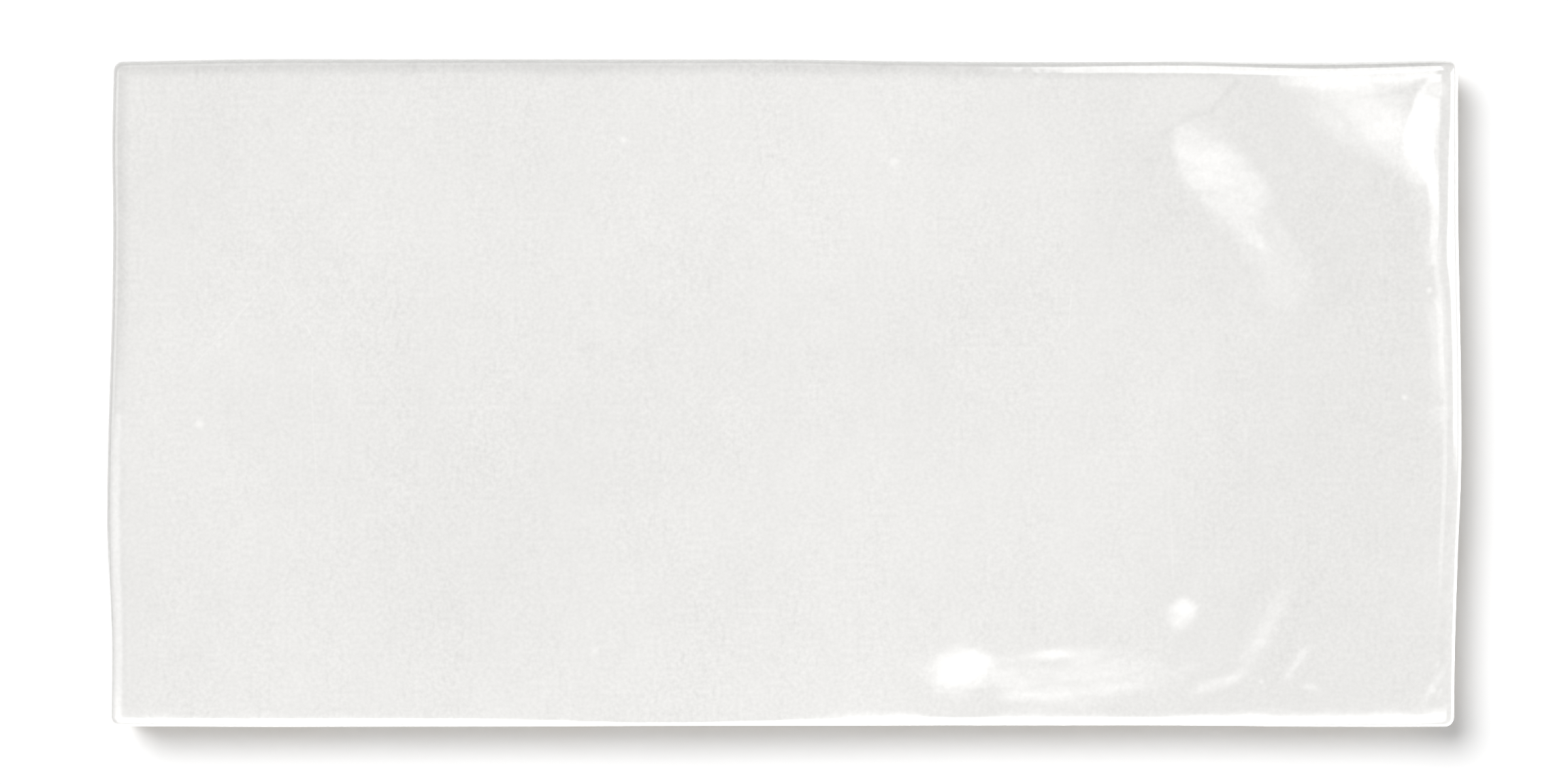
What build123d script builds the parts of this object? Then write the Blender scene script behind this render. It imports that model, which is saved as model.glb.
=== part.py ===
"""Glazed ceramic field tile with a hand-pressed look, lying on its keyed back with the glazed face up.

One fired piece, in millimetres. X runs along the length, Y along the width and Z up through the face.
The origin is the middle of the back, on the plane that the tile rests on.
"""

import os
from math import cos, exp, radians, sin

from build123d import *

# Overall size, over the widest points of the wandering outline and up to the level of the face
LENGTH = 150.8
WIDTH = 74.5
THICKNESS = 8.0

# Edges: the glaze sinks towards each side, then rolls over into a wall that draws in towards the back
NORTH_FALL = 0.55
NORTH_FALL_REACH = 0.8
EAST_FALL = 0.6
EAST_FALL_REACH = 1.3
SOUTH_FALL = 0.08
SOUTH_FALL_REACH = 0.7
WEST_FALL = 0.34
WEST_FALL_REACH = 0.8
EDGE_ROLL = 0.8
FACE_CORNER = 0.2
SIDE_DRAFT = 0.25
BACK_CHAMFER = 0.5

# How far each side wanders in from a true rectangle, at evenly spaced places from corner to corner.
# The sides run clockwise, so that north is read towards the east and east towards the south.
NORTH_WANDER = [0.40, 0.13, 0.14, 0.14, 0.14, 0.16, 0.38, 0.46, 0.45, 0.25, 0.10]
EAST_WANDER = [0.36, 0.35, 0.34, 0.17, 0.03, 0.04, 0.40, 0.70, 0.82]
SOUTH_WANDER = [0.02, 0.03, 0.16, 0.16, 0.16, 0.16, 0.15, 0.06, 0.03, 0.02, 0.10]
WEST_WANDER = [0.36, 0.40, 0.07, 0.06, 0.30, 0.58, 0.70, 0.60, 0.76]

# Waves in the glazed face, each a crest beside a trough.
# Places are shares of the half length and half width, and the crest lies towards the heading.
WAVES = [
    # along, across, crest height, centre to crest, half run, heading
    (-0.45, 0.11, 0.05, 17.0, 26.0, 160.0),
    (0.15, 0.24, 0.04, 14.0, 20.0, 65.0),
    (0.956, 0.626, 0.15, 7.7, 2.6, 262.0),
    (0.912, 0.773, 0.124, 5.0, 8.8, 243.0),
    (0.65, 0.612, 0.215, 4.9, 6.2, 218.0),
    (0.729, 0.344, 0.118, 3.8, 3.9, 203.0),
    (0.257, -0.813, 0.098, 4.1, 2.7, 84.0),
    (0.416, -0.838, 0.072, 4.1, 9.8, 92.0),
]

# Spacing of the points that carry the face, and how closely the face keeps to them
FACE_STEP = 1.5
FACE_TOLERANCE = 0.01

# Press key on the back: a waffle of shallow drafted pockets between flat ribs
KEY_BORDER = 7.5
KEY_PITCH = 15.4
KEY_RIB = 3.2
KEY_DEPTH = 0.8
KEY_DRAFT_ANGLE = 30.0

# How far the blank and its cutter run past the finished tile
OVERRUN = THICKNESS / 2


def spaced(half, count):
    """Places from one side to the other, in count equal steps."""
    return [half * (2 * i / count - 1) for i in range(count + 1)]


def outline(inset):
    """Closed outline of the tile, clockwise from its north side and drawn in by inset."""
    half_length = LENGTH / 2 - inset
    half_width = WIDTH / 2 - inset
    corner = EDGE_ROLL + FACE_CORNER
    sides = [
        # heading, outward, half run, reach, wander
        (Vector(1, 0), Vector(0, 1), half_length, half_width, NORTH_WANDER),
        (Vector(0, -1), Vector(1, 0), half_width, half_length, EAST_WANDER),
        (Vector(-1, 0), Vector(0, -1), half_length, half_width, SOUTH_WANDER),
        (Vector(0, 1), Vector(-1, 0), half_width, half_length, WEST_WANDER),
    ]
    edges = []
    for i, (heading, outward, half_run, reach, wander) in enumerate(sides):
        places = spaced(half_run, len(wander) - 1)
        # The side stops short of its two neighbours by the corner arc
        places[0] += sides[i - 1][-1][-1] + corner
        places[-1] -= sides[(i + 1) % len(sides)][-1][0] + corner
        points = [heading * place + outward * (reach - depth) for place, depth in zip(places, wander)]
        side = Spline(points, tangents=[heading, heading])
        edges += [side, JernArc(side @ 1, heading, corner, -90)]
    return make_face(edges)


def wave_height(x, y, wave):
    """Height that one crest and its trough add at a point."""
    along, across, height, spacing, run, heading = wave
    away_x = x - along * LENGTH / 2
    away_y = y - across * WIDTH / 2
    turn = radians(heading)
    ahead = (away_x * cos(turn) + away_y * sin(turn)) / spacing
    beside = (away_y * cos(turn) - away_x * sin(turn)) / run
    spread = ahead**2 + beside**2
    return height * ahead * exp((1 - spread**2) / 4)


def face_height(x, y):
    """Height of the glazed face: level, with waves, and sinking towards its edges."""
    falls = [
        # distance in from the side, depth, reach
        (WIDTH / 2 - y, NORTH_FALL, NORTH_FALL_REACH),
        (LENGTH / 2 - x, EAST_FALL, EAST_FALL_REACH),
        (WIDTH / 2 + y, SOUTH_FALL, SOUTH_FALL_REACH),
        (LENGTH / 2 + x, WEST_FALL, WEST_FALL_REACH),
    ]
    fall = sum(depth * exp(-max(distance, 0) / reach) for distance, depth, reach in falls)
    return THICKNESS - fall + sum(wave_height(x, y, wave) for wave in WAVES)


def above_face():
    """Everything above the glazed face, to be taken off the blank."""
    half_length = LENGTH / 2 + OVERRUN
    half_width = WIDTH / 2 + OVERRUN
    along = spaced(half_length, round(2 * half_length / FACE_STEP))
    across = spaced(half_width, round(2 * half_width / FACE_STEP))
    points = [[Vector(x, y, face_height(x, y)) for x in along] for y in across]
    face = Face.make_surface_from_array_of_points(points, tol=FACE_TOLERANCE, min_deg=3, max_deg=3)
    return extrude(face, amount=2 * OVERRUN, dir=(0, 0, 1))


def key_pockets():
    """Shallow pockets in the back, wider at their mouths."""
    columns, rows = (int((size - 2 * KEY_BORDER + KEY_RIB) / KEY_PITCH) for size in (LENGTH, WIDTH))
    mouth = KEY_PITCH - KEY_RIB
    mouths = GridLocations(KEY_PITCH, KEY_PITCH, columns, rows) * Rectangle(mouth, mouth)
    return extrude(Sketch() + mouths, amount=KEY_DEPTH, taper=KEY_DRAFT_ANGLE)


def field_tile():
    """The whole tile as one solid."""
    # The sides are widest where the roll starts, and the blank carries their slope on above it
    widest = THICKNESS - EDGE_ROLL
    blank_top = THICKNESS + OVERRUN
    spread = SIDE_DRAFT * (blank_top / widest - 1)
    blank = loft([outline(SIDE_DRAFT), Pos(0, 0, blank_top) * outline(-spread)], ruled=True)

    tile = blank - above_face()
    tile = fillet(tile.faces().sort_by(Axis.Z)[-1].edges(), EDGE_ROLL)
    tile = chamfer(tile.faces().sort_by(Axis.Z)[0].edges(), BACK_CHAMFER)
    return tile - key_pockets()


os.makedirs("parts", exist_ok=True)
export_step(field_tile(), "parts/field_tile.step")
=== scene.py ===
from math import atan2, cos, exp, pi, radians, sin, sqrt

import bmesh
import bpy
from mathutils import Matrix, Vector, noise


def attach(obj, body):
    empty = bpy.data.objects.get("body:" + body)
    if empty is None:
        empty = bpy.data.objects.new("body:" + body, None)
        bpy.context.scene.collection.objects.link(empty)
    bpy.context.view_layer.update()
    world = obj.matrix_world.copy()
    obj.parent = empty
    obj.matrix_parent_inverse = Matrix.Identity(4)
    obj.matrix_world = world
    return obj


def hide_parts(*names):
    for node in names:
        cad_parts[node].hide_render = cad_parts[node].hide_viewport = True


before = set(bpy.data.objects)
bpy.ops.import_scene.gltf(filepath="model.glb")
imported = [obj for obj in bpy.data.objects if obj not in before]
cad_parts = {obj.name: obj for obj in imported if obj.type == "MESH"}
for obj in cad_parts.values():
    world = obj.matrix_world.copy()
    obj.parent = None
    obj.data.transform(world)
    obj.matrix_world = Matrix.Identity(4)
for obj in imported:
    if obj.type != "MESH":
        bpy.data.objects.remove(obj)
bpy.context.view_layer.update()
mm = 0.001
print("frame loaded, nodes:", ", ".join(sorted(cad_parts)))


# a shader socket that takes part in Python maths
class Wire:
    def __init__(self, tree, socket=None):
        self.tree = tree
        self.socket = socket

    # settings are set first, then the sockets get values or links
    def node(self, kind, settings=None, sockets=None, output=0):
        made = self.tree.nodes.new(kind)
        for name, value in (settings or {}).items():
            setattr(made, name, value)
        for name, value in (sockets or {}).items():
            if isinstance(value, Wire):
                self.tree.links.new(value.socket, made.inputs[name])
            else:
                made.inputs[name].default_value = value
        return Wire(self.tree, made.outputs[output] if len(made.outputs) else None)

    def maths(self, operation, first, second=0.0):
        return self.node("ShaderNodeMath", {"operation": operation}, {0: first, 1: second})

    def __add__(self, other):
        return self.maths("ADD", self, other)

    def __sub__(self, other):
        return self.maths("SUBTRACT", self, other)

    def __rsub__(self, other):
        return self.maths("SUBTRACT", other, self)

    def __mul__(self, other):
        return self.maths("MULTIPLY", self, other)

    def __abs__(self):
        return self.maths("ABSOLUTE", self)

    __radd__ = __add__
    __rmul__ = __mul__

    # smooth step from 0 at low to 1 at high
    def ease(self, low, high):
        steps = {"Value": self, "From Min": low, "From Max": high}
        return self.node("ShaderNodeMapRange", {"interpolation_type": "SMOOTHSTEP"}, steps)

    # cloudy noise about zero
    def cloud(self, perMetre, detail, strength):
        sockets = {"Vector": self, "Scale": perMetre, "Detail": detail}
        return (self.node("ShaderNodeTexNoise", None, sockets) - 0.5) * strength

    # one coordinate of a vector
    def part(self, axis):
        return self.node("ShaderNodeSeparateXYZ", None, {0: self}, axis)

    # a colour made lighter or darker
    def shade(self, colour):
        return self.node("ShaderNodeVectorMath", {"operation": "SCALE"}, {0: colour, "Scale": self})

    # the Mix node's sockets go by number: factor 0, colours 6 and 7, colour result 2
    def mixColour(self, first, second):
        return self.node("ShaderNodeMix", {"data_type": "RGBA"}, {0: self, 6: first, 7: second}, 2)


def newMaterial(name):
    material = bpy.data.materials.new(name)
    material.use_nodes = True
    material.node_tree.nodes.clear()
    return material, Wire(material.node_tree)


def endMaterial(wire, shader):
    wire.node("ShaderNodeOutputMaterial", None, {"Surface": shader})


def addObject(name, bm):
    mesh = bpy.data.meshes.new(name)
    bm.to_mesh(mesh)
    bm.free()
    obj = bpy.data.objects.new(name, mesh)
    bpy.context.scene.collection.objects.link(obj)
    return obj


# field tile, in mm: a pressed clay body under a wavy glaze
tileShape = {
    "halfLength": 75.4,
    "halfWidth": 37.25,
    "skin": 0.02,             # drawn in all round
    "faceLevel": 7.99,
    "cornerRadius": 1.0,
    "roll": 0.8,
    # share of the roll along a side
    "rollShare": {
        "north": [1.0, 1.0, 1.0, 1.0, 1.0, 1.0, 1.0, 0.9, 0.55, 1.4, 1.1],
        "south": [1.0, 1.0, 1.0, 1.0, 1.0, 0.65, 0.38, 0.85, 1.0, 1.0, 1.0],
    },
    "sideDraft": 0.25,
    "sideUneven": 0.05,
    "sideDents": (6.0, 2.0),  # size of the dents along and up a side
    "sideDented": 0.8,        # higher where more of a side is dented
    "sideRings": 6,
    "backChamfer": 0.5,
    "chamferTurns": (0.3, 0.7, 1.0),     # rings of the rounded chamfer, as shares of its turn
    "gridStep": 0.42,
    "edgeWidth": 2.4,         # band along the sides that has finer grid lines
    "edgeLines": 14,
    # how far each side wanders in, clockwise, evenly spaced from corner to corner
    "wander": {
        "north": [0.40, 0.13, 0.14, 0.14, 0.14, 0.16, 0.38, 0.46, 0.45, 0.25, 0.10],
        "east": [0.36, 0.35, 0.34, 0.17, 0.03, 0.04, 0.40, 0.70, 0.82],
        "south": [0.02, 0.03, 0.16, 0.16, 0.16, 0.16, 0.15, 0.06, 0.03, 0.02, 0.10],
        "west": [0.36, 0.40, 0.07, 0.06, 0.30, 0.58, 0.70, 0.60, 0.76],
    },
    # how deep the glaze sinks along each side, and how far in that reaches
    "fall": {
        "north": ([0.55, 0.60, 0.52, 0.50, 0.58, 0.50, 0.50, 0.49, 0.52, 0.85, 0.75], 0.8),
        "east": ([0.55, 0.62, 0.60, 0.58, 0.60, 0.62, 0.60], 1.3),
        "south": ([0.15, 0.11, 0.11, 0.11, 0.11, 0.02, 0.0, 0.03, 0.05, 0.05, 0.06], 0.7),
        "west": ([0.30, 0.36, 0.36, 0.34, 0.32, 0.34, 0.36], 0.8),
    },
    "fallEnd": 8,             # left out past this many reaches
    # crest beside trough: x, y, crest height, centre to crest, half run, heading of the crest
    "waves": [
        (-34.0, 4.0, 0.05, 17.0, 26.0, 160.0),        # broad swells
        (11.0, 9.0, 0.04, 14.0, 20.0, 65.0),
        (72.1, 23.3, 0.150, 7.7, 2.6, 262.0),         # corner highlight and its core
        (68.5, 28.5, 0.128, 5.35, 8.2, 253.0),
        (67.2, 28.6, 0.010, 2.9, 2.6, 256.0),
        (49.0, 22.8, 0.213, 4.9, 6.8, 218.0),         # slanting blotch and its tail
        (54.8, 12.7, 0.165, 5.1, 3.9, 205.0),
        (19.2, -28.9, 0.107, 5.4, 2.9, 88.0),         # long ripple with a bright end
        (32.0, -31.2, 0.072, 4.0, 11.3, 93.5),
        (20.0, -29.6, 0.009, 2.0, 1.7, 88.0),         # finer ripples along it
        (28.4, -33.6, 0.0020, 0.60, 12.5, 95.0),
        (28.2, -29.1, 0.0030, 0.7, 6.5, 93.5),
        (30.0, -29.1, 0.0050, 0.7, 1.8, 93.0),
        (44.0, -24.6, 0.10, 2.7, 1.6, 78.0),          # bright spot
        (54.0, -25.2, 0.078, 1.85, 5.0, 154.0),       # slanting streaks
        (57.0, -30.0, 0.036, 0.9, 1.9, 151.0),
        (58.2, -32.6, 0.018, 0.9, 1.4, 60.0),
        (47.8, -32.6, 0.0185, 1.1, 2.7, 112.0),
        (72.2, -32.5, 0.025, 0.7, 1.5, 154.0),
    ],
    "waveEnd": 2.5,           # left out past this many times its spacing or run
}

# press key in the back, in mm
keyShape = {
    "columns": 9,
    "rows": 4,
    "pitch": 15.4,
    "mouth": 12.2,
    "corner": 1.2,
    "cornerSegments": 4,
    # rounded lip, drafted wall and rounded foot of a pocket, as (inset, depth)
    "profile": [(0.05, 0.02), (0.13, 0.09), (0.42, 0.62), (0.52, 0.75), (0.70, 0.80)],
}

halfLength = tileShape["halfLength"] - tileShape["skin"]
halfWidth = tileShape["halfWidth"] - tileShape["skin"]


# depth at a share from -1 to 1 along a side, on a smooth curve through evenly spaced depths
def depthAlong(depths, share):
    last = len(depths) - 1
    spot = (min(max(share, -1.0), 1.0) + 1) / 2 * last
    i = min(int(spot), last - 1)
    t = spot - i
    before, here, after, beyond = (depths[min(max(i + k, 0), last)] for k in (-1, 0, 1, 2))
    bend = 2 * before - 5 * here + 4 * after - beyond
    return here + t / 2 * (after - before + t * (bend + t * (3 * (here - after) + beyond - before)))


# distance in from a side of a grid line, with the lines closer together towards the side
def lineDistance(share, half, lines):
    shape = tileShape
    line = (1 - abs(share)) * lines
    if line < shape["edgeLines"]:
        return shape["edgeWidth"] * (line / shape["edgeLines"]) ** 2
    inner = (line - shape["edgeLines"]) / (lines - shape["edgeLines"])
    return shape["edgeWidth"] + inner * (half - shape["edgeWidth"])


# middle, crest height, directions ahead and beside in units of the wave, and how far it reaches
def waveTerm(middleX, middleY, height, spacing, run, heading):
    east = cos(radians(heading))
    north = sin(radians(heading))
    ahead = east / spacing, north / spacing
    beside = -north / run, east / run
    return middleX, middleY, height, ahead, beside, tileShape["waveEnd"] * max(spacing, run)


waveTerms = [waveTerm(*wave) for wave in tileShape["waves"]]


def waveHeight(x, y):
    total = 0.0
    for middleX, middleY, height, (aheadX, aheadY), (besideX, besideY), reach in waveTerms:
        awayX = x - middleX
        awayY = y - middleY
        if abs(awayX) < reach and abs(awayY) < reach:
            ahead = awayX * aheadX + awayY * aheadY
            beside = awayX * besideX + awayY * besideY
            spread = ahead * ahead + beside * beside
            total += height * ahead * exp((1 - spread * spread) / 4)
    return total


# where a point of the flat grid lies on the glazed face, and how far it is from the outline
def facePoint(shareX, shareY, linesX, linesY):
    shape = tileShape
    inX = lineDistance(shareX, halfLength, linesX)
    inY = lineDistance(shareY, halfWidth, linesY)
    weightX = 1 - inX / halfLength
    weightY = 1 - inY / halfWidth

    # round the corner, as a square is drawn onto a disc
    radius = shape["cornerRadius"]
    deep = min(inX, inY)
    if inX < radius and inY < radius:
        p = 1 - inX / radius
        q = 1 - inY / radius
        inX = radius * (1 - p * sqrt(1 - q * q / 2))
        inY = radius * (1 - q * sqrt(1 - p * p / 2))
        deep = radius * (1 - sqrt(p * p + q * q - p * p * q * q))

    signX = 1 if shareX > 0 else -1
    signY = 1 if shareY > 0 else -1
    end, alongEnd = ("east", -signY * weightY) if shareX > 0 else ("west", signY * weightY)
    side, alongSide = ("north", signX * weightX) if shareY > 0 else ("south", -signX * weightX)
    x = signX * (halfLength - inX - depthAlong(shape["wander"][end], alongEnd) * weightX)
    y = signY * (halfWidth - inY - depthAlong(shape["wander"][side], alongSide) * weightY)

    level = shape["faceLevel"] + waveHeight(x, y)
    for name, along, distance in ((end, alongEnd, inX), (side, alongSide, inY)):
        depths, reach = shape["fall"][name]
        if distance < shape["fallEnd"] * reach:
            level -= depthAlong(depths, along) * exp(-distance / reach)

    # the edge rolls over in a quarter round
    roll = shape["roll"]
    if inY < inX:
        roll *= depthAlong(shape["rollShare"][side], alongSide)
    turned = max(roll - deep, 0.0)
    level -= roll - sqrt(max(roll * roll - turned * turned, 0.0))
    return Vector((x, y, level)), deep


# extrudes the open rim and moves the new points
def pullRim(bm, rim, move):
    made = bmesh.ops.extrude_edge_only(bm, edges=rim)["geom"]
    points = {item for item in made if isinstance(item, bmesh.types.BMVert)}
    for v in points:
        v.co = move(v.co)
    return [e for e in made if isinstance(e, bmesh.types.BMEdge) and set(e.verts) <= points]


def makeFace(bm):
    shape = tileShape
    linesX, linesY = (
        round((half - shape["edgeWidth"]) / shape["gridStep"]) + shape["edgeLines"]
        for half in (halfLength, halfWidth)
    )
    bmesh.ops.create_grid(bm, x_segments=2 * linesX, y_segments=2 * linesY, size=1)
    rimDistance = bm.verts.layers.float.new("rimDistance")
    for v in bm.verts:
        v.co, v[rimDistance] = facePoint(v.co.x, v.co.y, linesX, linesY)
    print("glazed face:", len(bm.faces), "faces")


def makeSides(bm):
    shape = tileShape
    chamfer = shape["backChamfer"]
    widest = shape["faceLevel"] - shape["roll"]
    dentRun, dentRise = shape["sideDents"]

    # a point of the outline drawn in, at a new level
    def drawnIn(co, inset, level):
        return Vector((co.x * (1 - inset / halfLength), co.y * (1 - inset / halfWidth), level))

    rim = [e for e in bm.edges if e.is_boundary]
    for ringsLeft in range(shape["sideRings"], 0, -1):
        def wall(co, ringsLeft=ringsLeft):
            level = co.z + (chamfer - co.z) / ringsLeft
            draft = shape["sideDraft"] * max(co.z - level, 0.0) / widest
            dent = noise.noise(Vector((co.x / dentRun, co.y / dentRun, level / dentRise)))
            dent = shape["sideUneven"] * max(dent + shape["sideDented"], 0.0)
            return drawnIn(co, draft + dent * sin(pi * min(level / widest, 1.0)), level)
        rim = pullRim(bm, rim, wall)

    # rounded chamfer
    done = 0.0
    for share in shape["chamferTurns"]:
        turn = share * pi / 2
        inset = chamfer * (1 - cos(turn))
        def lower(co, step=inset - done, level=chamfer * (1 - sin(turn))):
            return drawnIn(co, step, level)
        rim = pullRim(bm, rim, lower)
        done = inset
    print("sides:", shape["sideRings"], "rings")
    return rim


def makeBack(bm, rim):
    shape = keyShape
    half = shape["mouth"] / 2
    for column in range(shape["columns"]):
        for row in range(shape["rows"]):
            x = (column - (shape["columns"] - 1) / 2) * shape["pitch"]
            y = (row - (shape["rows"] - 1) / 2) * shape["pitch"]
            place = Matrix.Translation((x, y, 0))
            corners = bmesh.ops.create_grid(bm, x_segments=1, y_segments=1, size=half, matrix=place)["verts"]
            bmesh.ops.bevel(
                bm, geom=corners, offset=shape["corner"], offset_type="OFFSET",
                segments=shape["cornerSegments"], profile=0.5, affect="VERTICES", material=-1)

    # each mouth becomes an open loop that is pulled up into a pocket
    flat = [f for f in bm.faces if all(v.co.z == 0.0 for v in f.verts) and len(f.verts) > 4]
    loops = [list(f.edges) for f in flat]
    centres = [f.calc_center_median() for f in flat]
    bmesh.ops.delete(bm, geom=flat, context="FACES_ONLY")
    mouths = []
    for loop, centre in zip(loops, centres):
        mouths += loop
        ring = loop
        inset = 0.0
        for nextInset, depth in shape["profile"]:
            shrink = (half - nextInset) / (half - inset)
            def inward(co, shrink=shrink, depth=depth, centre=centre):
                x = centre.x + (co.x - centre.x) * shrink
                y = centre.y + (co.y - centre.y) * shrink
                return Vector((x, y, depth))
            ring = pullRim(bm, ring, inward)
            inset = nextInset
        bmesh.ops.edgeloop_fill(bm, edges=ring)

    plane = bmesh.ops.triangle_fill(bm, use_beauty=True, edges=rim + mouths)["geom"]
    print("back:", len(centres), "pockets")
    return {f for f in plane if isinstance(f, bmesh.types.BMFace)}


def makeTile():
    bm = bmesh.new()
    makeFace(bm)
    rim = makeSides(bm)
    backFaces = makeBack(bm, rim)
    bmesh.ops.recalc_face_normals(bm, faces=bm.faces)
    for f in bm.faces:
        f.smooth = True
    for e in bm.edges:                                # the flat back meets its lips at crisp edges
        e.smooth = len({f in backFaces for f in e.link_faces}) == 1
    bmesh.ops.scale(bm, vec=(mm, mm, mm), verts=bm.verts)
    loose = [e for e in bm.edges if not e.is_manifold]
    print("tile mesh:", len(bm.faces), "faces,", len(loose), "open edges")
    return addObject("glazed_tile", bm)


# warm white glaze over fired clay, lengths in m unless said
glazeLook = {
    "colour": (0.787, 0.780, 0.764),
    "clayColour": (0.70, 0.62, 0.52),
    "roughness": 0.06,
    "clayRoughness": 0.8,
    "ior": 1.5,
    # noise: scale per metre, detail, strength
    "clouds": (38, 3, 0.10),
    "blotches": (330, 3, 0.05),
    "streaks": (900, 2, 0.04),
    "grain": (2000, 1, 1.0),
    "patches": (170, 2, 1.0),
    "flecks": (1500, 1, 1.0),
    "glossClouds": (300, 2, 0.04),
    "clayClouds": (90, 4, 0.16),
    "clayGrain": (3000, 3, 0.25),
    "glazeSkin": (260, 2, 0.00002),
    "claySkin": (4000, 3, 0.00005),
    "drawnOut": (1.0, 0.35, 1.0),        # streaks, patches and flecks are longer across the tile
    "patchEdge": (-0.30, 0.25),
    "patchFade": (0.0, 0.05, 0.25),      # fainter to the east: from, to, share
    "grainTone": (0.11, 0.21),           # outside and inside the patches
    "fleckEdge": (0.04, 0.20),
    "fleckTone": -0.035,
    # broad shades: from, to, strength
    "eastShade": (0.020, 0.075, -0.032),
    "middleShade": (0.0, 0.05, 0.014),
    "southShade": (-0.036, -0.020, 0.026),
    "southShadeEnd": (0.005, 0.030),
    # painted shade just inside the outline on the north and west sides, which face away from the tile's key
    # light: distances in from the outline in mm, then where it stops short of the south and east sides
    "edgeShadeAt": 0.85,
    "edgeShadeWidth": (0.1, 1.5),
    "edgeShadeWander": (110, 2, 1.2),
    "edgeShadeTone": -0.10,
    "edgeShadeSouth": (-0.0365, -0.0300),
    "edgeShadeEast": (0.0715, 0.0740),
    "glazeFoot": 0.0022,                 # level where the glaze ends on the sides
    "footWander": (120, 3, 0.0030),
    "footBlur": 0.00015,
    # painted glints off tiny pimples in the glaze, then wide painted light and shade either side of the
    # crease: x, y, radius in mm, strength
    "paintedSpots": [
        (-17.8, 27.9, 0.42, 0.13), (12.2, 25.5, 0.5, 0.10), (-64.9, -3.5, 0.5, 0.12),
        (71.6, 11.3, 0.35, 0.16), (68.9, -0.6, 0.35, 0.14), (-21.1, -28.7, 0.5, 0.06),
        (53.0, -32.1, 0.3, 0.10), (-46.5, 7.0, 0.3, 0.05), (31.0, 4.5, 0.3, 0.05),
        (43.0, 33.0, 5.0, 0.024), (53.0, 32.0, 5.0, -0.028),     # wide painted light and painted shade either side of the crease
    ],
    "paintedSpotReach": 1.6,                   # in radii
    # fine lines: points in mm, half width in mm, strength
    "lines": [
        ([(42.0, 28.6), (45.3, 30.7), (47.4, 31.2), (50.4, 34.6)], 0.65, -0.050),      # painted shade of a crease
        ([(-65.5, 2.9), (-56.4, 13.2), (-52.3, 6.0), (-52.4, -0.9), (-51.9, -10.1)], 0.18, 0.034),
        ([(32.0, 11.9), (31.6, 7.2)], 0.20, 0.038),
        ([(64.3, 25.3), (59.2, 15.9), (51.3, 0.9)], 0.18, 0.022),
        ([(43.0, -14.1), (43.2, -21.2)], 0.22, 0.030),
    ],
    "lineEnd": 0.0003,
}


# mottle of the glaze: broad clouds, blotches and fine grain that comes and goes
def mottleTone(place, eastward, northward):
    look = glazeLook
    drawnOut = place.node("ShaderNodeVectorMath", {"operation": "MULTIPLY"}, {0: place, 1: look["drawnOut"]})
    fadeFrom, fadeTo, fade = look["patchFade"]
    patch = drawnOut.cloud(*look["patches"]).ease(*look["patchEdge"])
    patch = patch * (1 - eastward.ease(fadeFrom, fadeTo) * fade)
    outside, inside = look["grainTone"]
    grain = place.cloud(*look["grain"]) * (outside + patch * (inside - outside))
    flecks = drawnOut.cloud(*look["flecks"]).ease(*look["fleckEdge"]) * patch
    tone = 1 + place.cloud(*look["clouds"]) + place.cloud(*look["blotches"])
    tone = tone + drawnOut.cloud(*look["streaks"]) + grain + flecks * look["fleckTone"]

    start, stop, strength = look["eastShade"]
    tone = tone + eastward.ease(start, stop) * strength
    start, stop, strength = look["middleShade"]
    tone = tone + (1 - abs(eastward).ease(start, stop)) * strength
    start, stop, strength = look["southShade"]
    return tone + (1 - northward.ease(start, stop)) * (1 - eastward.ease(*look["southShadeEnd"])) * strength


# painted shade: greyer just inside the outline, along the north and west sides that face away from the
# tile's key light
def edgeShadeTone(place, eastward, northward):
    look = glazeLook
    rim = place.node("ShaderNodeAttribute", {"attribute_name": "rimDistance"}, None, "Fac")
    rim = rim + place.cloud(*look["edgeShadeWander"])
    paintedShade = 1 - abs(rim - look["edgeShadeAt"]).ease(*look["edgeShadeWidth"])
    paintedShade = paintedShade * northward.ease(*look["edgeShadeSouth"]) * (1 - eastward.ease(*look["edgeShadeEast"]))
    return paintedShade * look["edgeShadeTone"]


# soft round spots: painted glints, and wide painted light and shade beside the crease
def paintedSpotTone(place, x, y, radius, strength):
    middle = (x * mm, y * mm, tileShape["faceLevel"] * mm)
    away = place.node("ShaderNodeVectorMath", {"operation": "DISTANCE"}, {0: place, 1: middle}, "Value")
    return (1 - away.ease(0.0, glazeLook["paintedSpotReach"] * radius * mm)) * strength


# each stretch of a fine line is laid along the X axis of a turned pattern
def lineTone(place, points, halfWidth, strength):
    end = glazeLook["lineEnd"]
    mark = 0.0
    for start, stop in zip(points, points[1:]):
        run = Vector(stop) - Vector(start)
        length = run.length * mm
        turned = place.node("ShaderNodeMapping", {"vector_type": "TEXTURE"}, {
            "Vector": place,
            "Location": (start[0] * mm, start[1] * mm, 0),
            "Rotation": (0, 0, atan2(run.y, run.x)),
        })
        ahead = turned.part(0)
        beside = abs(turned.part(1))
        line = ahead.ease(-end, 0) * (1 - ahead.ease(length, length + end))
        mark = place.maths("MAXIMUM", line * (1 - beside.ease(0, halfWidth * mm)), mark)
    return mark * strength


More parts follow.
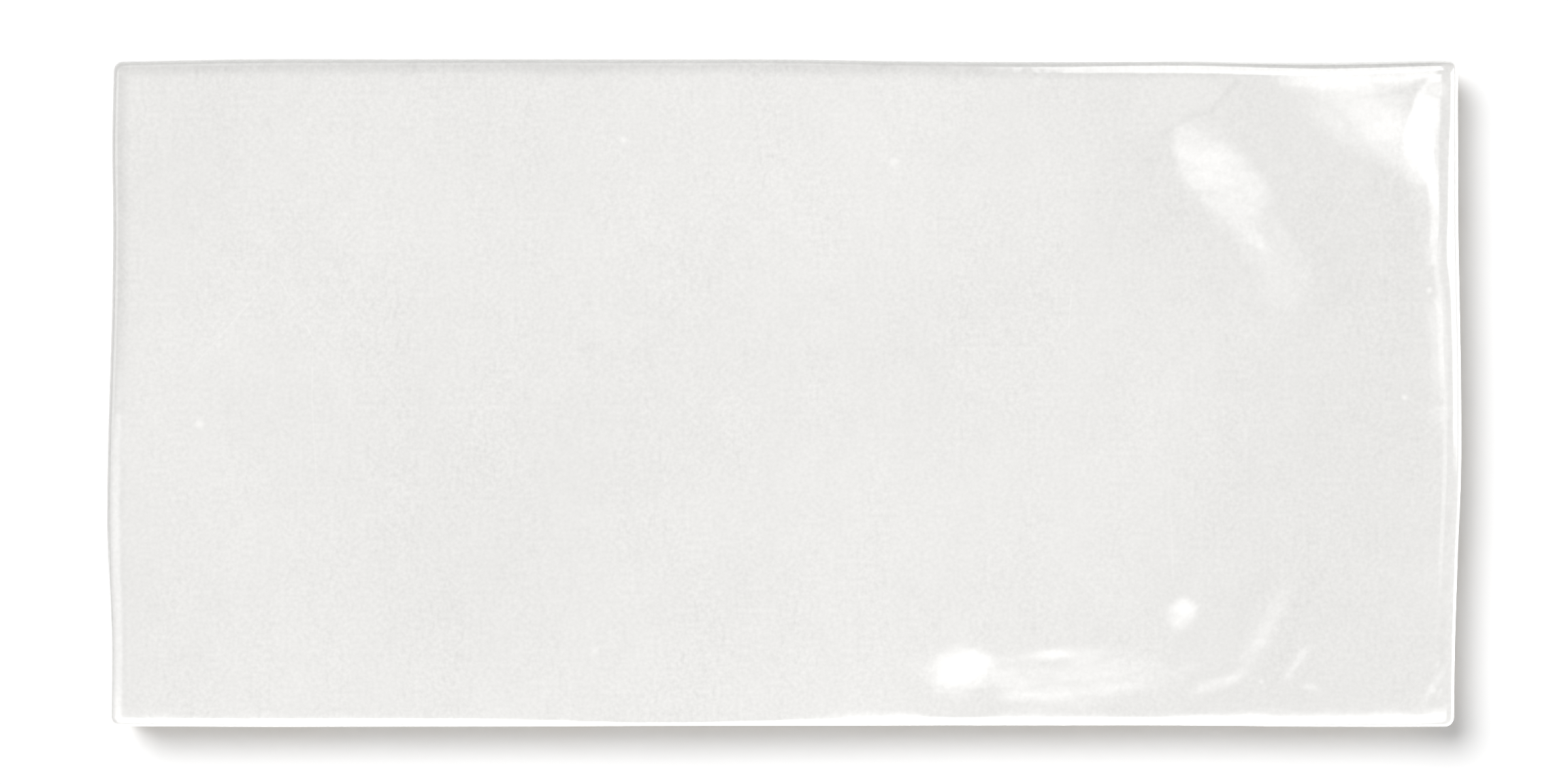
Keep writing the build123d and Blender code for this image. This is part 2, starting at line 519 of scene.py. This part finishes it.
def glazeMaterial():
    look = glazeLook
    material, wire = newMaterial("glaze_over_clay")
    place = wire.node("ShaderNodeTexCoord", None, None, "Object")
    eastward = place.part(0)
    northward = place.part(1)
    level = place.part(2)

    # glaze mottle, plus painted shade along the north and west edges
    tone = mottleTone(place, eastward, northward) + edgeShadeTone(place, eastward, northward)
    # painted glints, and painted light and shade beside the crease
    for paintedSpot in look["paintedSpots"]:
        tone = tone + paintedSpotTone(place, *paintedSpot)
    for line in look["lines"]:
        tone = tone + lineTone(place, *line)
    clayTone = 1 + place.cloud(*look["clayClouds"]) + place.cloud(*look["clayGrain"])

    # the glaze ends in a wandering line low on the sides
    foot = level + place.cloud(*look["footWander"])
    covered = foot.ease(look["glazeFoot"] - look["footBlur"], look["glazeFoot"] + look["footBlur"])
    colour = covered.mixColour(clayTone.shade(look["clayColour"]), tone.shade(look["colour"]))
    smoother = look["clayRoughness"] - look["roughness"]
    roughness = look["clayRoughness"] - covered * (smoother - place.cloud(*look["glossClouds"]))

    skin = place.cloud(*look["glazeSkin"]) * covered + place.cloud(*look["claySkin"]) * (1 - covered)
    bump = wire.node("ShaderNodeBump", None, {"Strength": 1.0, "Distance": 1.0, "Height": skin})
    shader = wire.node("ShaderNodeBsdfPrincipled", None, {
        "Base Color": colour, "Roughness": roughness, "Normal": bump, "IOR": look["ior"]})
    endMaterial(wire, shader)
    return material


tile = makeTile()
tile.data.materials.append(glazeMaterial())
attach(tile, "root")
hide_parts("field_tile")
print("tile dressed")

# plain pale floor
floorLook = {"half": 4.0, "colour": (0.8, 0.8, 0.8, 1)}


def makeFloor():
    bm = bmesh.new()
    bmesh.ops.create_grid(bm, x_segments=1, y_segments=1, size=floorLook["half"])
    floor = addObject("floor", bm)
    material, wire = newMaterial("pale_floor")
    endMaterial(wire, wire.node("ShaderNodeBsdfDiffuse", None, {"Color": floorLook["colour"]}))
    floor.data.materials.append(material)
    print("floor laid")
    return floor


floor = makeFloor()

# studio light: directions point from the tile to the light
studio = {
    "sky": (0.50, 0.50, 0.50, 1),
    "floorKey": {"towards": (-0.48, 0.46, 1.0), "spread": 31.0, "glow": 3.0},
    "tileKey": {"towards": (0.5, -0.5, 0.7), "spread": 30.0, "glow": 2.05},
    "tileFill": {"towards": (-0.6, 0.6, 0.5), "spread": 60.0, "glow": 0.8},
}

# soft cards that only show as reflections.
# Spans and the soft width of each edge are shares of the distance to the ceiling or wall,
# or metres on the ground.
cards = {
    "main_card": {
        "span": ((0.135, 0.30), (0.118, 0.42)), "soft": ((0.05, 0.04), (0.08, 0.10)), "glow": 6.0},
    "top_card": {
        "span": ((0.068, 0.40), (0.32, 0.95)), "soft": ((0.02, 0.04), (0.08, 0.20)), "glow": 7.0},
    "tail_card": {
        "span": ((0.25, 0.36), (0.037, 0.16)), "soft": ((0.04, 0.04), (0.02, 0.04)), "glow": 6.0},
    "patch_card": {
        "span": ((0.168, 0.235), (0.040, 0.085)), "soft": ((0.03, 0.02), (0.02, 0.02)), "glow": 0.9},
    "side_card": {
        "span": ((0.22, 0.45), (0.0, 0.031)), "soft": ((0.06, 0.08), (0.04, 0.014)), "glow": 1.9},
    "rim_card": {
        "span": ((0.34, 0.42), (-0.055, 0.0)), "soft": ((0.04, 0.04), (0.03, 0.02)), "glow": 2.2},
    "glint_card": {
        "span": ((0.29, 0.37), (0.002, 0.024)), "soft": ((0.03, 0.03), (0.015, 0.02)), "glow": 3.0},
    "low_card": {
        "span": ((0.22, 0.40), (-0.28, -0.10)), "soft": ((0.05, 0.04), (0.06, 0.06)), "glow": 1.5},
    "front_card": {
        "span": ((-0.7, 0.7), (-9.0, -0.130)), "soft": ((0.30, 0.30), (0.30, 0.055)), "glow": 6.0},
    "apron_card": {
        "span": ((-0.7, 0.7), (-0.20, -0.102)), "soft": ((0.30, 0.30), (0.10, 0.01)), "glow": 0.8},
    "north_card": {
        "span": ((-0.7, 0.06), (0.90, 4.0)), "soft": ((0.30, 0.02), (0.30, 0.50)), "glow": 1.5},
    "west_card": {
        "span": ((-4.0, -0.75), (-0.7, 0.7)), "soft": ((0.50, 0.15), (0.30, 0.30)), "glow": 2.6},
    "south_west_card": {
        "span": ((-0.75, -0.30), (-0.30, 0.0)), "soft": ((0.15, 0.10), (0.10, 0.03)), "glow": 4.0},
    "east_card": {
        "place": "wall",
        "span": ((-0.02, 0.40), (0.25, 1.62)), "soft": ((0.06, 0.20), (0.05, 0.18)), "glow": 8.0},
    "ground_card": {
        "place": "ground",
        "span": ((-3.0, 3.0), (-3.0, 3.0)), "soft": ((0.50, 0.50), (0.50, 0.50)), "glow": 0.6},
    "ground_east_card": {
        "place": "ground",
        "span": ((0.05, 3.0), (-0.013, 3.0)), "soft": ((0.01, 0.50), (0.012, 0.50)), "glow": 2.5},
    "ground_south_card": {
        "place": "ground",
        "span": ((-3.0, 3.0), (-3.0, -0.02)), "soft": ((0.50, 0.50), (0.50, 0.01)), "glow": 3.5},
}

# far ceiling and east wall, in m, and how far one card lies behind the next so that none hides another
cardSet = {
    "distance": 10.0,
    "size": 1.5,              # of a card's mesh, in spans, with room for its soft edges
    "ceilingStep": 0.02,
    "groundStep": 0.00002,
}


def makeSun(name, light, receiver):
    data = bpy.data.lights.new(name, "SUN")
    data.angle = radians(light["spread"])
    data.energy = light["glow"]
    sun = bpy.data.objects.new(name, data)
    sun.rotation_euler = Vector(light["towards"]).to_track_quat("Z", "Y").to_euler()
    sun.visible_glossy = False
    bpy.context.scene.collection.objects.link(sun)
    lit = bpy.data.collections.new(name + "_lit")
    lit.objects.link(receiver)
    sun.light_linking.receiver_collection = lit


# light that fades out over the soft edges of a card and lets everything behind it through
def cardMaterial(name, card, unit):
    material, wire = newMaterial(name + "_light")
    spot = wire.node("ShaderNodeTexCoord", None, None, "Object")
    glow = 1.0
    for axis, (start, stop) in enumerate(card["span"]):
        share = spot.part(axis) * (1 / unit)
        before, after = (soft / 2 for soft in card["soft"][axis])
        glow = share.ease(start - before, start + before) * glow
        glow = (1 - share.ease(stop - after, stop + after)) * glow
    colour = glow.mixColour((0, 0, 0, 1), (1, 1, 1, 1))
    light = wire.node("ShaderNodeEmission", None, {"Color": colour, "Strength": card["glow"]})
    clear = wire.node("ShaderNodeBsdfTransparent")
    endMaterial(wire, wire.node("ShaderNodeAddShader", None, {0: light, 1: clear}))
    return material


def makeCard(name, card, layer):
    place = card.get("place", "ceiling")
    distance = cardSet["distance"]
    unit = 1.0 if place == "ground" else distance
    bm = bmesh.new()
    bmesh.ops.create_grid(bm, x_segments=1, y_segments=1, size=0.5)
    for axis, (start, stop) in enumerate(card["span"]):
        for v in bm.verts:
            v.co[axis] = unit * ((start + stop) / 2 + v.co[axis] * cardSet["size"] * (stop - start))
    obj = addObject(name, bm)
    obj.location = (0, 0, distance + layer * cardSet["ceilingStep"])
    if place == "wall":
        obj.location = (distance, 0, 0)
        obj.rotation_euler = (pi / 2, 0, pi / 2)
    if place == "ground":
        obj.location = (0, 0, layer * cardSet["groundStep"])
    obj.data.materials.append(cardMaterial(name, card, unit))
    obj.visible_camera = False
    obj.visible_diffuse = False
    obj.visible_shadow = False


def makeStudio():
    world = bpy.data.worlds.new("studio_sky")
    world.use_nodes = True
    world.node_tree.nodes["Background"].inputs["Color"].default_value = studio["sky"]
    bpy.context.scene.world = world
    makeSun("floorKey", studio["floorKey"], floor)
    makeSun("tileKey", studio["tileKey"], tile)
    makeSun("tileFill", studio["tileFill"], tile)
    for i, (name, card) in enumerate(cards.items()):
        makeCard(name, card, i)
    bpy.context.scene.view_settings.view_transform = "Standard"
    print("studio lit:", len(cards), "cards")


makeStudio()

# camera straight above, so that the face fills the frame at the photograph's scale
cameraSet = {"lens": 100.0, "sensor": 36.0, "frameWidth": 0.17408}


def makeCamera():
    data = bpy.data.cameras.new("camera")
    data.lens = cameraSet["lens"]
    data.sensor_width = cameraSet["sensor"]
    camera = bpy.data.objects.new("camera", data)
    distance = cameraSet["frameWidth"] * cameraSet["lens"] / cameraSet["sensor"]
    camera.location = (0, 0, tileShape["faceLevel"] * mm + distance)
    bpy.context.scene.collection.objects.link(camera)
    bpy.context.scene.camera = camera
    print("camera set")


makeCamera()
